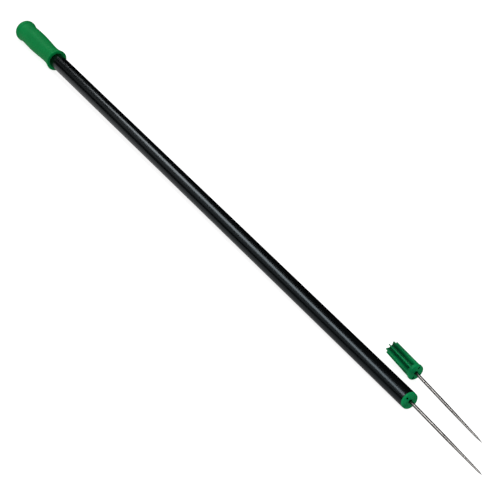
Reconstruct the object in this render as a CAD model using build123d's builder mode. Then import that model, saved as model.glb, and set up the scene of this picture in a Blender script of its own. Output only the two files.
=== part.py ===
from build123d import *
import os
from math import atan, asin, cos, degrees, radians, sin

# A litter pick-up stick: a straight steel tube with a moulded grip at one end and a ribbed plug,
# pushed into the other end, that holds a pointed steel spike. A spare plug with its own spike lies
# beside it. All sizes are in millimetres. +X runs from the grip towards the spike, +Z is up and
# z = 0 is the surface that everything lies on. The origin is the middle of the footprint.

# Tube
tube_radius = 11.1
tube_wall = 0.9
tube_length = 1016.0
tube_shown = 907.0
tube_edge_chamfer = 0.3
tube_bore_radius = tube_radius - tube_wall

# Grip, measured from its mouth towards its closed end
grip_length = 113.5
grip_bore_depth = tube_length - tube_shown
lip_radius = 16.25
lip_flat = 2.0
front_neck_at = 18.0
front_neck_radius = 13.8
palm_at = 67.0
palm_radius = 15.65
rear_neck_at = 101.5
rear_neck_radius = 14.95
head_at = 104.3
head_radius = 16.4
flare_slope = -0.25
lip_rounding = 1.2
head_step_rounding = 1.2
head_end_rounding = 6.0

# Plug, measured from the face of the tube's end, positive towards the spike
flange_radius = 10.9
flange_thickness = 3.5
flange_rounding = 0.9
plug_length = 51.3
bore_clearance = 0.05
collar_radius = tube_bore_radius - bore_clearance
collar_length = 2.0
rib_end_radius = 9.3
rib_count = 8
rib_thickness = 1.4
core_radius = 3.9
valley_rounding = 0.8
slot_length = 4.4
slot_width = 2.2
slot_depth = 4.8
slot_at = 7.5
slot_turn = 60.0
recess_radius = 2.6
recess_depth = 5.0
plug_inner_end = flange_thickness - plug_length

# Spikes, whose reach is measured from the same face. The fitted one stands a little further out.
spike_radius = 2.0
spike_length = 172.0
fitted_reach = 140.0
spare_reach = 135.2
straight_share = 0.5
spike_tip_radius = 0.2
fitted_shoulder_share = 0.96
fitted_shoulder_radius = 1.05
spare_shoulder_share = 0.93
spare_shoulder_radius = 1.15

# Where things lie
spare_offset = 73.4
spare_set_back = 73.4
spare_heading = 2.8
spare_turn = 153.6
fitted_turn = 214.8
fitted_spike_heading = 0.9
fitted_spike_nose_down = 2.35
overall_length = grip_length + tube_shown + fitted_reach
tube_end_x = overall_length / 2 - fitted_reach
stick_y = (max(lip_radius, head_radius) - spare_offset - flange_radius) / 2
stick_lean = degrees(asin((lip_radius - tube_radius) / tube_shown))
spare_contact = flange_thickness - flange_rounding
spare_pitch = degrees(
    atan((flange_radius - spike_tip_radius) / (spare_reach - spare_contact))
)
spare_lift = (
    flange_radius * cos(radians(spare_pitch)) + spare_contact * sin(radians(spare_pitch))
)


def lying_plane(x, y, z, heading, nose_down, turn):
    """A plane whose normal points along a lying piece, from its grip side to its spike side.
    The piece is turned about its own length, from +Y towards +Z."""
    along = Vector(1, 0, 0).rotate(Axis.Y, nose_down).rotate(Axis.Z, heading)
    across = Vector(0, 1, 0).rotate(Axis.Z, heading)
    turned = across.rotate(Axis((0, 0, 0), along), turn)
    return Plane(origin=(x, y, z), x_dir=turned, z_dir=along)


def half_section(base):
    """The plane that holds a turned outline: local x along the axis, local y away from it."""
    return Plane(origin=base.origin, x_dir=base.z_dir, z_dir=base.y_dir)


def centre_line(base):
    return Axis(base.origin, base.z_dir)


def make_plug(base, spike_base, reach, label):
    """A push-in plug: thin tapered ribs, a solid collar, a flange and a bore for the spike."""
    with BuildPart() as plug:
        with BuildSketch(base.offset(-collar_length)) as star:
            Circle(core_radius)
            with PolarLocations(0, rib_count):
                Rectangle(collar_radius, rib_thickness, align=(Align.MIN, Align.CENTER))
            fillet(star.vertices().group_by(SortBy.DISTANCE)[0], radius=valley_rounding)
        extrude(amount=plug_inner_end + collar_length)
        with BuildSketch(half_section(base)):
            with BuildLine():
                Polyline(
                    (plug_inner_end, 0),
                    (plug_inner_end, rib_end_radius),
                    (-collar_length, collar_radius),
                    (-collar_length, 0),
                    close=True,
                )
            make_face()
        revolve(axis=centre_line(base), mode=Mode.INTERSECT)
        with BuildSketch(base.offset(-collar_length)):
            Circle(collar_radius)
        extrude(amount=collar_length)
        with BuildSketch(base):
            Circle(flange_radius)
        extrude(amount=flange_thickness)
        face = plug.faces().sort_by(centre_line(base))[-1]
        fillet(face.edges(), radius=flange_rounding)
        with BuildSketch(base.offset(flange_thickness)):
            with PolarLocations(slot_at, 2, start_angle=-slot_turn):
                SlotOverall(slot_length, slot_width)
        extrude(amount=-slot_depth, mode=Mode.SUBTRACT)
        with BuildSketch(base.offset(flange_thickness)):
            Circle(recess_radius)
        extrude(amount=-recess_depth, mode=Mode.SUBTRACT)
        with BuildSketch(spike_base.offset(reach)):
            Circle(spike_radius)
        extrude(amount=-spike_length, mode=Mode.SUBTRACT)
    plug.part.label = label
    return plug.part


def make_spike(base, reach, shoulder_share, shoulder_radius, label):
    """A ground steel rod: parallel shank, long taper, then a sharp point."""
    shown = reach - flange_thickness
    with BuildPart() as spike:
        with BuildSketch(half_section(base)):
            with BuildLine():
                Polyline(
                    (reach - spike_length, 0),
                    (reach - spike_length, spike_radius),
                    (flange_thickness + straight_share * shown, spike_radius),
                    (flange_thickness + shoulder_share * shown, shoulder_radius),
                    (reach, spike_tip_radius),
                    (reach, 0),
                    close=True,
                )
            make_face()
        revolve(axis=centre_line(base))
    spike.part.label = label
    return spike.part


stick = lying_plane(
    tube_end_x, stick_y, tube_radius * cos(radians(stick_lean)), 0, stick_lean, fitted_turn
)
spare = lying_plane(
    tube_end_x - spare_set_back,
    stick_y + spare_offset,
    spare_lift,
    spare_heading,
    spare_pitch,
    spare_turn,
)

with BuildPart() as tube:
    with BuildSketch(stick):
        Circle(tube_radius)
        Circle(tube_bore_radius, mode=Mode.SUBTRACT)
    extrude(amount=-tube_length)
    chamfer(tube.edges().filter_by(GeomType.CIRCLE), length=tube_edge_chamfer)
tube.part.label = "tube"

mouth = stick.offset(-tube_shown)
grip_base = Plane(origin=mouth.origin, x_dir=mouth.x_dir, z_dir=-mouth.z_dir)
with BuildPart() as grip:
    with BuildSketch(half_section(grip_base)):
        with BuildLine():
            Polyline(
                (grip_bore_depth, 0),
                (grip_bore_depth, tube_radius),
                (0, tube_radius),
                (0, lip_radius),
                (lip_flat, lip_radius),
            )
            Spline(
                (lip_flat, lip_radius),
                (front_neck_at, front_neck_radius),
                (palm_at, palm_radius),
                (rear_neck_at, rear_neck_radius),
                tangents=[(1, flare_slope), (1, 0)],
            )
            Polyline(
                (rear_neck_at, rear_neck_radius),
                (head_at, head_radius),
                (grip_length, head_radius),
                (grip_length, 0),
                (grip_bore_depth, 0),
            )
        make_face()
    revolve(axis=centre_line(grip_base))
    rims = grip.edges().filter_by(GeomType.CIRCLE).group_by(centre_line(grip_base))
    lip_rims = rims[0].sort_by(SortBy.RADIUS)[-1:] + rims[1]
    head_step_rims = rims[2] + rims[3]
    fillet(lip_rims, lip_rounding)
    fillet(head_step_rims, head_step_rounding)
    fillet(rims[-1], head_end_rounding)
grip.part.label = "grip"

# The fitted spike droops a little from the middle of its plug's face.
root = stick.offset(flange_thickness).origin
drooping = lying_plane(*root, fitted_spike_heading, fitted_spike_nose_down, 0)
fitted_spike_base = drooping.offset(-flange_thickness)
fitted_plug = make_plug(stick, fitted_spike_base, fitted_reach, "fitted_plug")
fitted_spike = make_spike(
    fitted_spike_base, fitted_reach, fitted_shoulder_share, fitted_shoulder_radius, "fitted_spike"
)
spare_plug = make_plug(spare, spare, spare_reach, "spare_plug")
spare_spike = make_spike(
    spare, spare_reach, spare_shoulder_share, spare_shoulder_radius, "spare_spike"
)

os.makedirs("parts", exist_ok=True)
for piece in (tube.part, grip.part, fitted_plug, fitted_spike, spare_plug, spare_spike):
    export_step(piece, f"parts/{piece.label}.step")
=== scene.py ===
from math import asin, atan, cos, pi, radians, sin

import bmesh
import bpy
from mathutils import Matrix, Vector


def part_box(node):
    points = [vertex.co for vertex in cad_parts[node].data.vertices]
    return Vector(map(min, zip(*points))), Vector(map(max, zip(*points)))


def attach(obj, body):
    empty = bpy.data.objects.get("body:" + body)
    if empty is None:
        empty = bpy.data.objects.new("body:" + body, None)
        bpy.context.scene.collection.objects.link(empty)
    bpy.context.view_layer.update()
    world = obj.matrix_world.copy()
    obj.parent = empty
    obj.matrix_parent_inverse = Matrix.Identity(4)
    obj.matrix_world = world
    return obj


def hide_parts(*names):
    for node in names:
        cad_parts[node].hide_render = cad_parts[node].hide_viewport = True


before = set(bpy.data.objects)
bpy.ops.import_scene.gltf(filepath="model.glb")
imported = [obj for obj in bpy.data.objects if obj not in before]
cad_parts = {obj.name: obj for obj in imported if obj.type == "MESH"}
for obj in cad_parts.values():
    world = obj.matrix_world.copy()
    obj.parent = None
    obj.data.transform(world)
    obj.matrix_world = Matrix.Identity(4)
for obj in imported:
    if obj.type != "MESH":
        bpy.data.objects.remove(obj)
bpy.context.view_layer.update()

# A litter pick-up stick: a coated tube with a moulded grip on one end and, in the other end, a ribbed
# plug that holds a steel spike. A spare plug with its own spike lies beside it. Each piece is modelled
# upright round its own axis, and then put where it lies.

# ---------------------------------------------------------------- sizes, in metres
MM = 0.001
TUBE_RADIUS = 11.1 * MM
TUBE_BORE = 10.2 * MM
TUBE_LENGTH = 1016 * MM
TUBE_SHOWN = 907 * MM
TUBE_EDGE = 0.3 * MM

# The grip's outline: a point is how far behind the grip's mouth it lies, and its radius there.
GRIP_LENGTH = 113.5 * MM
LIP_RADIUS = 16.25 * MM
LIP_ROUNDING = 1.2 * MM
DISH_DEPTH = 0.4 * MM
FLARE = [
    (2 * MM, LIP_RADIUS - 0.05 * MM),
    (4.5 * MM, LIP_RADIUS - 0.65 * MM),
    (8 * MM, LIP_RADIUS - 1.4 * MM),
    (12 * MM, LIP_RADIUS - 2.15 * MM),
]
FRONT_NECK = (18 * MM, 13.8 * MM)
PALM = (67 * MM, 15.65 * MM)
REAR_NECK = (101.5 * MM, 14.95 * MM)
HEAD = (104.6 * MM, 16.4 * MM)
HEAD_ROUNDING = 6 * MM

# Faint ridges run along the grip and fade out near both of its necks.
RIDGE_COUNT = 8
POINTS_PER_RIDGE = 8
RIDGE_HEIGHT = 0.35 * MM
RIDGE_FADE = 8 * MM
RIDGES_FROM = FRONT_NECK[0] - 4 * MM
RIDGES_TO = REAR_NECK[0] - 1 * MM

# Plugs and spikes are measured from the face of the tube's end, positive towards the point.
FLANGE_RADIUS = 10.9 * MM
FLANGE_THICKNESS = 3.5 * MM
FLANGE_ROUNDING = 0.9 * MM
COLLAR_RADIUS = 10.15 * MM
COLLAR_LENGTH = 2 * MM
PLUG_LENGTH = 51.3 * MM
PLUG_INNER_END = FLANGE_THICKNESS - PLUG_LENGTH
RIB_COUNT = 8
RIB_THICKNESS = 1.4 * MM
RIB_END_RADIUS = 9.3 * MM
CORE_RADIUS = 3.9 * MM
GROOVE_RUN_OUT = 1 * MM
SLOT_AT = 7.5 * MM
SLOT_LENGTH = 4.4 * MM
SLOT_WIDTH = 2.2 * MM
SLOT_DEPTH = 4.8 * MM
SLOT_TURN = radians(60)
RECESS_RADIUS = 2.6 * MM
RECESS_DEPTH = 5 * MM
MOULDED_EDGE = 0.18 * MM
CUTTER_OVERSHOOT = 1 * MM

# A spike is straight, then tapers to its shoulder, then to its point. A shoulder is its share of the
# shown length, and its radius.
SPIKE_RADIUS = 2 * MM
SPIKE_LENGTH = 172 * MM
SPIKE_TIP_RADIUS = 0.2 * MM
STRAIGHT_SHARE = 0.5
FITTED_REACH = 140 * MM
FITTED_SHOULDER = (0.96, 1.05 * MM)
SPARE_REACH = 135.2 * MM
SPARE_SHOULDER = (0.93, 1.15 * MM)

# ---------------------------------------------------------------- where the stick and the spare lie
SPARE_OFFSET = 73.4 * MM
SPARE_SET_BACK = 73.4 * MM
SPARE_HEADING = radians(2.8)
SPARE_TURN = radians(153.6)
FITTED_TURN = radians(214.8)
SPIKE_HEADING = radians(0.9)
SPIKE_NOSE_DOWN = radians(2.35)
stick_lean = asin((LIP_RADIUS - TUBE_RADIUS) / TUBE_SHOWN)
spare_contact = FLANGE_THICKNESS - FLANGE_ROUNDING
spare_pitch = atan((FLANGE_RADIUS - SPIKE_TIP_RADIUS) / (SPARE_REACH - spare_contact))
spare_lift = FLANGE_RADIUS * cos(spare_pitch) + spare_contact * sin(spare_pitch)

tube_low, tube_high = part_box("tube")
tube_end = Vector((
    tube_high.x - TUBE_RADIUS * sin(stick_lean),
    (tube_low.y + tube_high.y) / 2,
    TUBE_RADIUS * cos(stick_lean),
))


def lying(origin, heading, nose_down, turn):
    """The place of a lying piece: its local z runs towards its point, and the turn goes from +Y to +Z."""
    along = Matrix.Rotation(heading, 3, "Z") @ Matrix.Rotation(nose_down, 3, "Y") @ Vector((1, 0, 0))
    level = Matrix.Rotation(heading, 3, "Z") @ Vector((0, 1, 0))
    across = Matrix.Rotation(turn, 3, along) @ level
    turned = Matrix((across, along.cross(across), along)).transposed()
    return Matrix.Translation(origin) @ turned.to_4x4()


stick_place = lying(tube_end, 0, stick_lean, FITTED_TURN)
grip_place = stick_place @ Matrix.Translation((0, 0, -TUBE_SHOWN)) @ Matrix.Rotation(pi, 4, "X")
spare_origin = tube_end + Vector((-SPARE_SET_BACK, SPARE_OFFSET, 0))
spare_origin.z = spare_lift
spare_place = lying(spare_origin, SPARE_HEADING, spare_pitch, SPARE_TURN)

# The fitted spike droops a little from the middle of its plug's face.
root = stick_place @ Vector((0, 0, FLANGE_THICKNESS))
drooping = lying(root, SPIKE_HEADING, SPIKE_NOSE_DOWN, 0)
fitted_spike_place = drooping @ Matrix.Translation((0, 0, -FLANGE_THICKNESS))


# ---------------------------------------------------------------- modelling helpers
def select_only(piece):
    bpy.ops.object.select_all(action="DESELECT")
    piece.select_set(True)
    bpy.context.view_layer.objects.active = piece


def start_editing(piece, select_mode):
    select_only(piece)
    bpy.ops.object.mode_set(mode="EDIT")
    bpy.ops.mesh.select_mode(type=select_mode)
    bpy.ops.mesh.select_all(action="DESELECT")


def stop_editing():
    bpy.ops.object.mode_set(mode="OBJECT")


def pick(piece, elements, test):
    """In edit mode, selects the verts, edges or faces that pass the test, and nothing else."""
    mesh = bmesh.from_edit_mesh(piece.data)
    for element in getattr(mesh, elements):
        element.select_set(False)
    chosen = [element for element in getattr(mesh, elements) if test(element)]
    for element in chosen:
        element.select_set(True)
    mesh.select_flush_mode()
    bmesh.update_edit_mesh(piece.data)


def distance_from_axis(point):
    return Vector((point.x, point.y)).length


def turned_piece(name, stations, sides):
    """A turned shape: one ring is extruded and resized from station to station, and both ends are
    closed. A station is a height along the axis and the radius there."""
    height, radius = stations[0]
    bpy.ops.object.select_all(action="DESELECT")
    bpy.ops.mesh.primitive_circle_add(vertices=sides, radius=radius, fill_type="NGON")
    piece = bpy.context.object
    piece.name = name
    bpy.ops.object.mode_set(mode="EDIT")
    bpy.ops.mesh.select_mode(type="EDGE")
    bpy.ops.mesh.select_all(action="SELECT")
    bpy.ops.transform.translate(value=(0, 0, height))
    for next_height, next_radius in stations[1:]:
        rise = next_height - height
        swell = next_radius / radius
        bpy.ops.mesh.extrude_region_move(TRANSFORM_OT_translate={"value": (0, 0, rise)})
        bpy.ops.transform.resize(value=(swell, swell, 1), center_override=(0, 0, next_height))
        height = next_height
        radius = next_radius
    bpy.ops.mesh.select_all(action="SELECT")
    bpy.ops.mesh.normals_make_consistent(inside=False)
    stop_editing()
    return piece


def arc(centre, radius, start, end, steps):
    """Stations round an arc. An angle of 0 points up the axis, and a right angle points outwards."""
    angles = [start + (end - start) * step / steps for step in range(steps + 1)]
    return [(centre[0] + radius * cos(angle), centre[1] + radius * sin(angle)) for angle in angles]


def eased(start, end, steps):
    """Stations on a smooth swell that is level at both of its ends. The first one is left out."""
    shares = [step / steps for step in range(1, steps + 1)]
    rises = [(1 - cos(pi * share)) / 2 for share in shares]
    return [
        (start[0] + (end[0] - start[0]) * share, start[1] + (end[1] - start[1]) * rise)
        for share, rise in zip(shares, rises)
    ]


def apply_modifier(piece, kind, **settings):
    select_only(piece)
    modifier = piece.modifiers.new(kind, kind)
    for key, value in settings.items():
        setattr(modifier, key, value)
    bpy.ops.object.modifier_apply(modifier=modifier.name)


def cut(piece, cutter):
    apply_modifier(piece, "BOOLEAN", operation="DIFFERENCE", solver="EXACT", object=cutter)
    bpy.data.objects.remove(cutter)


def round_bar(radius, low, high, sides=48):
    """A round bar on the axis, from one height to another."""
    bpy.ops.object.select_all(action="DESELECT")
    bpy.ops.mesh.primitive_cylinder_add(
        vertices=sides, radius=radius, depth=high - low, location=(0, 0, (low + high) / 2)
    )
    bar = bpy.context.object
    bpy.ops.object.transform_apply(location=True, rotation=False, scale=False)
    return bar


def put(piece, place):
    """Moves a finished mesh to its place and leaves its object at the origin."""
    select_only(piece)
    piece.matrix_world = place
    bpy.ops.object.transform_apply(location=True, rotation=True, scale=True)


def copy_of(piece):
    twin = piece.copy()
    twin.data = piece.data.copy()
    bpy.context.scene.collection.objects.link(twin)
    return twin


def smooth(piece, angle):
    select_only(piece)
    bpy.ops.object.shade_smooth_by_angle(angle=radians(angle))


# ---------------------------------------------------------------- the tube
def make_tube():
    """A bar whose two ends are opened and joined by a bore, with its four rims rounded."""
    tube = round_bar(TUBE_RADIUS, -TUBE_LENGTH, 0, sides=128)
    tube.name = "coated_tube"
    start_editing(tube, "FACE")
    pick(tube, "faces", lambda face: abs(face.normal.z) > 0.9)
    bpy.ops.mesh.inset(thickness=TUBE_RADIUS - TUBE_BORE, use_even_offset=False)
    bpy.ops.mesh.delete(type="ONLY_FACE")
    bpy.ops.mesh.select_mode(type="EDGE")
    pick(tube, "edges", lambda edge: edge.is_boundary)
    bpy.ops.mesh.bridge_edge_loops()
    pick(tube, "edges", runs_round)
    bpy.ops.mesh.bevel(offset=TUBE_EDGE, segments=3)
    bpy.ops.mesh.select_all(action="SELECT")
    bpy.ops.mesh.normals_make_consistent(inside=False)
    stop_editing()
    smooth(tube, 35)
    put(tube, stick_place)
    return tube


def runs_round(edge):
    """True for an edge of a rim, which stays at one height and one distance from the axis."""
    start, end = [vert.co for vert in edge.verts]
    level = abs(start.z - end.z) < TUBE_EDGE
    return level and abs(distance_from_axis(start) - distance_from_axis(end)) < TUBE_EDGE


# ---------------------------------------------------------------- the grip
def grip_stations():
    """From the middle of the bore's floor, out through the mouth and back to the closed end."""
    bore_floor = TUBE_LENGTH - TUBE_SHOWN
    centre_dot = 1 * MM
    inner_lip = TUBE_RADIUS + 0.5 * MM
    dish_edge = LIP_RADIUS - 2 * LIP_ROUNDING
    lip_centre = (LIP_ROUNDING, LIP_RADIUS - LIP_ROUNDING)
    head_centre = (GRIP_LENGTH - HEAD_ROUNDING, HEAD[1] - HEAD_ROUNDING)
    inside = [
        (bore_floor, centre_dot),
        (bore_floor, TUBE_BORE),
        (bore_floor, TUBE_RADIUS - 0.1 * MM),
        (bore_floor - 1 * MM, TUBE_RADIUS),
        (PALM[0], TUBE_RADIUS),
        (DISH_DEPTH + 2 * MM, TUBE_RADIUS),
        (DISH_DEPTH + 0.4 * MM, TUBE_RADIUS),
    ]
    dish = [
        (DISH_DEPTH, inner_lip),
        (DISH_DEPTH, dish_edge - 0.8 * MM),
        (DISH_DEPTH / 2, dish_edge - 0.2 * MM),
        (0.1 * MM, dish_edge + 0.3 * MM),
    ]
    lip = arc(lip_centre, LIP_ROUNDING, pi, pi / 2, 4)
    hand = eased(FRONT_NECK, PALM, 8) + eased(PALM, REAR_NECK, 7) + eased(REAR_NECK, HEAD, 4)
    crown = [(head_centre[0] - 3 * MM, HEAD[1])] + arc(head_centre, HEAD_ROUNDING, pi / 2, 0, 6)
    end = [(GRIP_LENGTH, head_centre[1] / 2), (GRIP_LENGTH, centre_dot)]
    return inside + dish + lip + FLARE + [FRONT_NECK] + hand + crown + end


def sink_hollows(grip, height, depth):
    """Draws one ring of the grip's outside in between the ridges, whose own columns of points stay."""
    step = 2 * pi / (RIDGE_COUNT * POINTS_PER_RIDGE)

    def in_hollow(vert):
        column = round(Vector((1, 0)).angle_signed(Vector((vert.co.x, vert.co.y)), 0) / step)
        outside = distance_from_axis(vert.co) > TUBE_RADIUS + 1 * MM
        on_ring = abs(vert.co.z - height) < 0.01 * MM
        return outside and on_ring and column % POINTS_PER_RIDGE != 0

    pick(grip, "verts", in_hollow)
    mesh = bmesh.from_edit_mesh(grip.data)
    sinking = [vert for vert in mesh.verts if vert.select]
    if sinking:
        radius = distance_from_axis(sinking[0].co)
        shrink = (radius - depth) / radius
        bpy.ops.transform.resize(value=(shrink, shrink, 1), center_override=(0, 0, height))


def make_grip():
    grip = turned_piece("moulded_grip", grip_stations(), RIDGE_COUNT * POINTS_PER_RIDGE)
    start_editing(grip, "VERT")
    for height in sorted({round(vert.co.z, 6) for vert in grip.data.vertices}):
        if RIDGES_FROM < height < RIDGES_TO:
            fade = min(1, (height - RIDGES_FROM) / RIDGE_FADE, (RIDGES_TO - height) / RIDGE_FADE)
            sink_hollows(grip, height, RIDGE_HEIGHT * fade)
    stop_editing()
    apply_modifier(grip, "SUBSURF", levels=2, render_levels=2)
    smooth(grip, 60)
    put(grip, grip_place)
    return grip


# ---------------------------------------------------------------- the plugs
def groove_cutter():
    """A wedge with a round bottom that is tangent to the sides of two neighbouring ribs."""
    half_pitch = pi / RIB_COUNT
    bottom_at = (CORE_RADIUS - RIB_THICKNESS / 2) / (1 - sin(half_pitch))
    bottom_radius = bottom_at * sin(half_pitch) - RIB_THICKNESS / 2
    reach_out = 2 * CORE_RADIUS
    cutter = round_bar(bottom_radius, PLUG_INNER_END - 2 * CUTTER_OVERSHOOT, -COLLAR_LENGTH)
    start_editing(cutter, "VERT")

    # The outer half of the bar is pulled out and spread, so that its sides follow the ribs.
    mouth_at = -bottom_radius * sin(half_pitch) + 0.1 * MM
    pick(cutter, "verts", lambda vert: vert.co.x > mouth_at)
    side_at = bottom_at + mouth_at + reach_out
    opening = side_at * sin(half_pitch) / cos(half_pitch) - RIB_THICKNESS / 2 / cos(half_pitch)
    widening = opening / (bottom_radius * cos(half_pitch))
    bpy.ops.transform.translate(value=(reach_out, 0, 0))
    bpy.ops.transform.resize(value=(1, widening, 1), center_override=(0, 0, 0))

    # The groove gets shallower towards the collar.
    pick(cutter, "verts", lambda vert: vert.co.z > -COLLAR_LENGTH - GROOVE_RUN_OUT)
    bpy.ops.transform.translate(value=(GROOVE_RUN_OUT, 0, 0))
    bpy.ops.mesh.select_all(action="SELECT")
    bpy.ops.transform.translate(value=(bottom_at, 0, 0))
    stop_editing()
    return cutter


def slot_cutter():
    """A radial slot with round ends."""
    floor_at = FLANGE_THICKNESS - SLOT_DEPTH
    cutter = round_bar(SLOT_WIDTH / 2, floor_at, FLANGE_THICKNESS + CUTTER_OVERSHOOT, sides=24)
    half_straight = (SLOT_LENGTH - SLOT_WIDTH) / 2
    start_editing(cutter, "VERT")
    for side in (-1, 1):
        pick(cutter, "verts", lambda vert: vert.co.x * side > 0.01 * MM)
        bpy.ops.transform.translate(value=(half_straight * side, 0, 0))
    bpy.ops.mesh.select_all(action="SELECT")
    bpy.ops.transform.translate(value=(SLOT_AT, 0, 0))
    stop_editing()
    return cutter


def cut_around(piece, cutter, count, first_angle):
    """Cuts the same shape at even turns round the axis."""
    for index in range(count):
        twin = copy_of(cutter)
        put(twin, Matrix.Rotation(first_angle + 2 * pi * index / count, 4, "Z"))
        cut(piece, twin)
    bpy.data.objects.remove(cutter)


def make_plug(name, place, spike_place, reach):
    """A turned body, cut into ribs behind its collar, with two slots, a recess and the spike's bore."""
    flange_centre = (FLANGE_THICKNESS - FLANGE_ROUNDING, FLANGE_RADIUS - FLANGE_ROUNDING)
    centre_dot = 0.5 * MM
    stations = [
        (PLUG_INNER_END, centre_dot),
        (PLUG_INNER_END, RIB_END_RADIUS - 0.3 * MM),
        (PLUG_INNER_END + 0.4 * MM, RIB_END_RADIUS),
        (-COLLAR_LENGTH, COLLAR_RADIUS),
        (0, COLLAR_RADIUS),
        (0, FLANGE_RADIUS - 0.15 * MM),
        (0.15 * MM, FLANGE_RADIUS),
    ] + arc(flange_centre, FLANGE_ROUNDING, pi / 2, 0, 5) + [(FLANGE_THICKNESS, centre_dot)]
    plug = turned_piece(name, stations, 96)
    cut_around(plug, groove_cutter(), RIB_COUNT, pi / RIB_COUNT)
    cut_around(plug, slot_cutter(), 2, -SLOT_TURN)
    recess_floor = FLANGE_THICKNESS - RECESS_DEPTH
    cut(plug, round_bar(RECESS_RADIUS, recess_floor, FLANGE_THICKNESS + CUTTER_OVERSHOOT))
    bore = round_bar(SPIKE_RADIUS, reach - SPIKE_LENGTH, reach)
    put(bore, place.inverted() @ spike_place)
    cut(plug, bore)
    apply_modifier(plug, "BEVEL", width=MOULDED_EDGE, segments=2, limit_method="ANGLE",
                   angle_limit=radians(40), use_clamp_overlap=True)
    smooth(plug, 40)
    put(plug, place)
    return plug


# ---------------------------------------------------------------- the spikes
def make_spike(name, place, reach, shoulder):
    """A ground rod: a straight shank, a long taper, then a steeper point with a blunted tip."""
    shown = reach - FLANGE_THICKNESS
    inner_end = reach - SPIKE_LENGTH
    straight_end = FLANGE_THICKNESS + STRAIGHT_SHARE * shown
    shoulder_share, shoulder_radius = shoulder
    shoulder_at = FLANGE_THICKNESS + shoulder_share * shown
    blend = 3 * MM
    easing = 0.02 * MM
    fall = (SPIKE_RADIUS - shoulder_radius) / (shoulder_at - straight_end)
    stations = [
        (inner_end, 0.2 * MM),
        (inner_end, SPIKE_RADIUS - 0.4 * MM),
        (inner_end + 0.4 * MM, SPIKE_RADIUS),
        (0, SPIKE_RADIUS),
        (straight_end - blend, SPIKE_RADIUS),
        (straight_end, SPIKE_RADIUS - easing),
        (straight_end + blend, SPIKE_RADIUS - fall * blend),
        (shoulder_at - blend, shoulder_radius + fall * blend),
        (shoulder_at, shoulder_radius - easing),
        (reach - 0.3 * MM, SPIKE_TIP_RADIUS),
        (reach, 0.05 * MM),
    ]
    spike = turned_piece(name, stations, 48)
    smooth(spike, 50)
    put(spike, place)
    return spike


# ---------------------------------------------------------------- material helpers
def new_material(name):
    material = bpy.data.materials.new(name)
    material.use_nodes = True
    return material, material.node_tree.nodes["Principled BSDF"]


def add_node(material, kind, **settings):
    """Adds a node. A setting with the name of one of its sockets is that socket's value."""
    node = material.node_tree.nodes.new(kind)
    for key, value in settings.items():
        if key in node.inputs:
            node.inputs[key].default_value = value
        else:
            setattr(node, key, value)
    return node


def join(material, output, target):
    material.node_tree.links.new(output, target)


def own_frame(material, place):
    """Object coordinates brought back to the piece's own frame, where z runs along the piece."""
    coordinates = add_node(material, "ShaderNodeTexCoord")
    turn = add_node(material, "ShaderNodeMapping", vector_type="TEXTURE")
    turn.inputs["Location"].default_value = place.translation
    turn.inputs["Rotation"].default_value = place.to_euler()
    join(material, coordinates.outputs["Object"], turn.inputs["Vector"])
    return turn.outputs["Vector"]


def pattern(material, place, stretch, scale, detail=2.0):
    """Noise in the piece's own frame, stretched along it."""
    stretcher = add_node(material, "ShaderNodeMapping")
    stretcher.inputs["Scale"].default_value = (1, 1, 1 / stretch)
    noise = add_node(material, "ShaderNodeTexNoise", Scale=scale, Detail=detail)
    join(material, own_frame(material, place), stretcher.inputs["Vector"])
    join(material, stretcher.outputs["Vector"], noise.inputs["Vector"])
    return noise.outputs["Fac"]


def height_along(material, place):
    """How far along the piece a point lies, towards its point."""
    split = add_node(material, "ShaderNodeSeparateXYZ")
    join(material, own_frame(material, place), split.inputs["Vector"])
    return split.outputs["Z"]


def radius_around(material, place):
    """How far from the piece's axis a point lies."""
    flatten = add_node(material, "ShaderNodeMapping")
    flatten.inputs["Scale"].default_value = (1, 1, 0)
    length = add_node(material, "ShaderNodeVectorMath", operation="LENGTH")
    join(material, own_frame(material, place), flatten.inputs["Vector"])
    join(material, flatten.outputs["Vector"], length.inputs[0])
    return length.outputs["Value"]


def ranged(material, source, start, end, low=0.0, high=1.0):
    """Maps a value from start..end to low..high and holds it at both ends."""
    ranger = add_node(material, "ShaderNodeMapRange")
    ranger.inputs["From Min"].default_value = start
    ranger.inputs["From Max"].default_value = end
    ranger.inputs["To Min"].default_value = low
    ranger.inputs["To Max"].default_value = high
    join(material, source, ranger.inputs["Value"])
    return ranger.outputs["Result"]


def noise_ranged(material, noise, low, high):
    """Spreads a noise pattern, which mostly lies between 0.3 and 0.7, over low..high."""
    return ranged(material, noise, 0.3, 0.7, low, high)


def combined(material, operation, first, second):
    node = add_node(material, "ShaderNodeMath", operation=operation)
    join(material, first, node.inputs[0])
    join(material, second, node.inputs[1])
    return node.outputs["Value"]


def shades(material, source, target, dark, light, start=0.35, end=0.65):
    """Turns a value into a colour, dark up to start and light from end on."""
    ramp = add_node(material, "ShaderNodeValToRGB")
    ramp.color_ramp.elements[0].position = start
    ramp.color_ramp.elements[0].color = (*dark, 1)
    ramp.color_ramp.elements[1].position = end
    ramp.color_ramp.elements[1].color = (*light, 1)
    join(material, source, ramp.inputs["Fac"])
    join(material, ramp.outputs["Color"], target)


def relief(material, shader, layers):
    """Chains bumps. A layer is a pattern, its strength and its height."""
    previous = None
    for source, strength, height in layers:
        bump = add_node(material, "ShaderNodeBump", Strength=strength, Distance=height)
        join(material, source, bump.inputs["Height"])
        if previous:
            join(material, previous, bump.inputs["Normal"])
        previous = bump.outputs["Normal"]
    join(material, previous, shader.inputs["Normal"])


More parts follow.
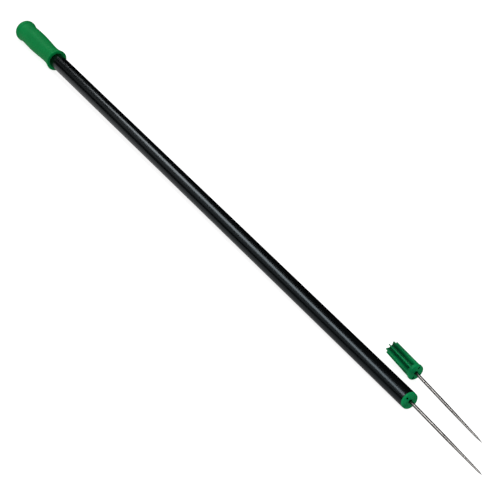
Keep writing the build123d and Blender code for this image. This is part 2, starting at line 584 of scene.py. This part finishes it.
# ---------------------------------------------------------------- the finishes
COATING_BLACK = (0.0008, 0.0011, 0.0012)
RUBBED_BLACK = (0.0030, 0.0036, 0.0038)
COATING_TINT = (0.74, 0.9, 1, 1)
VINYL_GREEN = (0.0010, 0.200, 0.046)
VINYL_ROUGHNESS = 0.55
POLISHED_ROUGHNESS = 0.2
MOTTLING = 0.85
PLASTIC_GREEN = (0.0010, 0.215, 0.064)
PLASTIC_ROUGHNESS = 0.45
# painted shade: the plastic's colour down in the plugs' slots, recess and groove bottoms
PAINTED_SHADE_GREEN = (0.0004, 0.038, 0.016)
GREEN_TINT = (0.3, 1, 0.6, 1)
CLEAN_STEEL = (0.315, 0.302, 0.292)
DARK_STEEL = (0.03, 0.024, 0.02)
ROOT_DARKENING_LENGTH = 12 * MM
FLOOR_DARK = (0.29, 0.29, 0.29)
FLOOR_LIGHT = (0.31, 0.31, 0.31)
FLOOR_GLOW = 0.86


def black_coating():
    """A glossy black coat with faint lengthwise rub marks and a little orange peel."""
    material, shader = new_material("gloss_black_coating")
    patches = pattern(material, stick_place, stretch=6, scale=40)
    rub_marks = pattern(material, stick_place, stretch=60, scale=900, detail=3)
    peel = pattern(material, stick_place, stretch=1, scale=700)
    shades(material, rub_marks, shader.inputs["Base Color"], COATING_BLACK, RUBBED_BLACK, 0.4, 0.75)
    join(material, noise_ranged(material, patches, 0.21, 0.27), shader.inputs["Roughness"])
    relief(material, shader, [(peel, 0.05, 0.05 * MM), (rub_marks, 0.02, 0.02 * MM)])
    shader.inputs["Specular IOR Level"].default_value = 0.36
    shader.inputs["Specular Tint"].default_value = COATING_TINT
    return material


def moulded_surface(material, shader, place, flow):
    """What the green mouldings share: flow marks, a fine grain and a low sheen."""
    grain = pattern(material, place, stretch=1, scale=2600)
    relief(material, shader, [(flow, 0.15, 0.05 * MM), (grain, 0.22, 0.03 * MM)])
    shader.inputs["Specular IOR Level"].default_value = 0.08
    shader.inputs["Specular Tint"].default_value = GREEN_TINT


def satin_vinyl():
    """The grip's vinyl: faintly mottled, and more polished on the head, where the palm rubs it."""
    material, shader = new_material("satin_green_vinyl")
    clouds = pattern(material, stick_place, stretch=2, scale=55, detail=3)
    flow = pattern(material, stick_place, stretch=8, scale=260)
    mottled = [channel * MOTTLING for channel in VINYL_GREEN]
    shades(material, clouds, shader.inputs["Base Color"], mottled, VINYL_GREEN)
    head_at = -TUBE_SHOWN - HEAD[0]
    height = height_along(material, stick_place)
    worn = ranged(material, height, head_at, head_at - 3 * MM, VINYL_ROUGHNESS, POLISHED_ROUGHNESS)
    dullness = combined(material, "MULTIPLY", noise_ranged(material, flow, 0.9, 1.1), worn)
    join(material, dullness, shader.inputs["Roughness"])
    moulded_surface(material, shader, stick_place, flow)
    return material


def painted_recess_shade(material, place):
    """Painted shade for the plugs' colour: 1 on the rib tops, the flange's rim and its face, half in the
    grooves and 0 in the slots and the recess.
    """
    height = height_along(material, place)
    radius = radius_around(material, place)
    behind_flange = ranged(material, height, 0.5 * MM, -1 * MM)
    # painted shade: darker further down the grooves, lighter up the ribs
    painted_groove_shade = ranged(material, radius, 5.6 * MM, 8.8 * MM, 0.5, 1)
    ribs = combined(material, "MULTIPLY", painted_groove_shade, behind_flange)
    rim = ranged(material, radius, FLANGE_RADIUS - 1.15 * MM, FLANGE_RADIUS - 0.85 * MM)
    face = ranged(material, height, FLANGE_THICKNESS - 0.6 * MM, FLANGE_THICKNESS - 0.2 * MM)
    return combined(material, "MAXIMUM", ribs, combined(material, "MAXIMUM", rim, face))


def ribbed_plastic(name, place):
    """The plugs' plastic, with shade painted into its colour: darker down in the grooves and darkest in
    the slots.
    """
    material, shader = new_material(name)
    clouds = pattern(material, place, stretch=2, scale=55, detail=3)
    flow = pattern(material, place, stretch=8, scale=260)
    # random mottling times the painted shade of the grooves, slots and recess
    mottling_and_painted_shade = combined(material, "MULTIPLY", clouds, painted_recess_shade(material, place))
    shades(material, mottling_and_painted_shade, shader.inputs["Base Color"], PAINTED_SHADE_GREEN, PLASTIC_GREEN, 0.1, 0.55)
    dullness = noise_ranged(material, flow, PLASTIC_ROUGHNESS - 0.05, PLASTIC_ROUGHNESS + 0.06)
    join(material, dullness, shader.inputs["Roughness"])
    moulded_surface(material, shader, place, flow)
    return material


def ground_steel(name, place):
    """Steel with faint grinding rings and stains, and darker over its first stretch out of the plug."""
    material, shader = new_material(name)
    rings = pattern(material, place, stretch=0.04, scale=500)
    stains = pattern(material, place, stretch=5, scale=90, detail=3)
    root_darkening_end = FLANGE_THICKNESS + ROOT_DARKENING_LENGTH
    # darker towards the plug's face and inside the plug
    away_from_root = ranged(material, height_along(material, place), FLANGE_THICKNESS, root_darkening_end, 0.25, 1)
    bright = combined(material, "MULTIPLY", noise_ranged(material, stains, 0.75, 1), away_from_root)
    shades(material, bright, shader.inputs["Base Color"], DARK_STEEL, CLEAN_STEEL, 0.1, 1)
    join(material, noise_ranged(material, stains, 0.34, 0.26), shader.inputs["Roughness"])
    relief(material, shader, [(rings, 0.2, 0.02 * MM)])
    shader.inputs["Metallic"].default_value = 1.0
    return material


def pale_floor():
    """A matt pale floor that glows a little, like a light table, so that shadows stay faint."""
    material, shader = new_material("pale_floor")
    clouds = pattern(material, Matrix.Identity(4), stretch=1, scale=3)
    shades(material, clouds, shader.inputs["Base Color"], FLOOR_DARK, FLOOR_LIGHT)
    shader.inputs["Roughness"].default_value = 0.9
    shader.inputs["Specular IOR Level"].default_value = 0.1
    shader.inputs["Emission Color"].default_value = (1, 1, 1, 1)
    shader.inputs["Emission Strength"].default_value = FLOOR_GLOW
    return material


# ---------------------------------------------------------------- the pieces
def finish_piece(piece, material, body, node):
    piece.data.materials.clear()
    piece.data.materials.append(material)
    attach(piece, body)
    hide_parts(node)


tube = make_tube()
grip = make_grip()
fitted_plug = make_plug("moulded_plug", stick_place, fitted_spike_place, FITTED_REACH)
spare_plug = make_plug("moulded_spare_plug", spare_place, spare_place, SPARE_REACH)
fitted_spike = make_spike("ground_spike", fitted_spike_place, FITTED_REACH, FITTED_SHOULDER)
spare_spike = make_spike("ground_spare_spike", spare_place, SPARE_REACH, SPARE_SHOULDER)

finish_piece(tube, black_coating(), "stick", "tube")
finish_piece(grip, satin_vinyl(), "stick", "grip")
finish_piece(fitted_plug, ribbed_plastic("green_plastic", stick_place),
             "fitted_tip", "fitted_plug")
finish_piece(spare_plug, ribbed_plastic("green_plastic_spare", spare_place),
             "spare_tip", "spare_plug")
finish_piece(fitted_spike, ground_steel("ground_steel", fitted_spike_place),
             "fitted_tip", "fitted_spike")
finish_piece(spare_spike, ground_steel("ground_steel_spare", spare_place),
             "spare_tip", "spare_spike")


# ---------------------------------------------------------------- the floor
FLOOR_SIZE = 40


def add_floor():
    bpy.ops.object.select_all(action="DESELECT")
    bpy.ops.mesh.primitive_plane_add(size=FLOOR_SIZE)
    floor = bpy.context.object
    floor.name = "floor"
    floor.data.materials.append(pale_floor())
    floor.visible_glossy = False


# ---------------------------------------------------------------- the lights
# The area lights are only for gloss, and the sky is only for plain light. The bank draws the bright line
# along the tube, the card greys its side below that line, and the table greys its lowest side.
BANK_FACING = Vector((0.40, 0.85, -0.34))
BANK_ALONG = Vector((-0.832, 0.499, 0.268))
BANK_PLACE = Vector((-1.11, -1.12, 1.20))
BANK_SIZE = (0.56, 3.4)
BANK_POWER = 40
CARD_PLACE = Vector((-1.10, -1.48, 0.31))
CARD_SIZE = (0.95, 2.35)
CARD_POWER = 2.7
TABLE_FACING = Vector((0, 0, 1))
TABLE_ALONG = Vector((1, 0, 0))
TABLE_PLACE = tube_end + Vector((-0.5, -0.1, -0.3))
TABLE_SIZE = (0.7, 2.6)
TABLE_POWER = 3
SKY_DIRECTION = Vector((-0.3, -0.4, 1))
SKY_STRENGTH = 1.3
SKY_SOFTNESS = radians(90)
ROOM_STRENGTH = 0.6


def add_softbox(name, place, facing, along, size, power):
    """A rectangular light that shines along one direction and has its long side along another."""
    data = bpy.data.lights.new(name, "AREA")
    data.shape = "RECTANGLE"
    data.size, data.size_y = size
    data.energy = power
    light = bpy.data.objects.new(name, data)
    bpy.context.scene.collection.objects.link(light)
    back = -facing.normalized()
    across = along.cross(back).normalized()
    turned = Matrix((across, back.cross(across), back)).transposed().to_4x4()
    light.matrix_world = Matrix.Translation(place) @ turned
    light.visible_diffuse = False


def add_sky_fill():
    data = bpy.data.lights.new("fill", "SUN")
    data.energy = SKY_STRENGTH
    data.angle = SKY_SOFTNESS
    light = bpy.data.objects.new("fill", data)
    bpy.context.scene.collection.objects.link(light)
    light.location = SKY_DIRECTION
    light.rotation_euler = (-SKY_DIRECTION).to_track_quat("-Z", "Y").to_euler()
    light.visible_glossy = False


def light_room():
    world = bpy.data.worlds.new("studio")
    world.use_nodes = True
    background = world.node_tree.nodes["Background"]
    background.inputs["Color"].default_value = (1, 1, 1, 1)
    background.inputs["Strength"].default_value = ROOM_STRENGTH
    bpy.context.scene.world = world
    world.cycles_visibility.glossy = False


# ---------------------------------------------------------------- the camera
CAMERA_SENSOR = 36
CAMERA_LENS = 129.7
CAMERA_PLACE = tube_end + Vector((1.2544, -1.5236, 0.6793))
CAMERA_AZIMUTH = radians(46.446)
CAMERA_ELEVATION = radians(17.105)
CAMERA_ROLL = radians(26.427)


def add_camera():
    """A long lens beyond the spike's end, to one side, that looks back along the stick and is rolled."""
    data = bpy.data.cameras.new("camera")
    data.sensor_width = CAMERA_SENSOR
    data.lens = CAMERA_LENS
    data.clip_end = 100
    camera = bpy.data.objects.new("camera", data)
    bpy.context.scene.collection.objects.link(camera)
    away = cos(CAMERA_ELEVATION)
    back = Vector((sin(CAMERA_AZIMUTH) * away, -cos(CAMERA_AZIMUTH) * away, sin(CAMERA_ELEVATION)))
    level_right = Vector((cos(CAMERA_AZIMUTH), sin(CAMERA_AZIMUTH), 0))
    level_up = back.cross(level_right)
    right = level_right * cos(CAMERA_ROLL) + level_up * sin(CAMERA_ROLL)
    up = level_up * cos(CAMERA_ROLL) - level_right * sin(CAMERA_ROLL)
    turned = Matrix((right, up, back)).transposed().to_4x4()
    camera.matrix_world = Matrix.Translation(CAMERA_PLACE) @ turned
    bpy.context.scene.camera = camera


add_floor()
add_softbox("bank", BANK_PLACE, BANK_FACING, BANK_ALONG, BANK_SIZE, BANK_POWER)
add_softbox("card", CARD_PLACE, BANK_FACING, BANK_ALONG, CARD_SIZE, CARD_POWER)
add_softbox("table", TABLE_PLACE, TABLE_FACING, TABLE_ALONG, TABLE_SIZE, TABLE_POWER)
add_sky_fill()
light_room()
add_camera()
bpy.context.scene.view_settings.view_transform = "Standard"
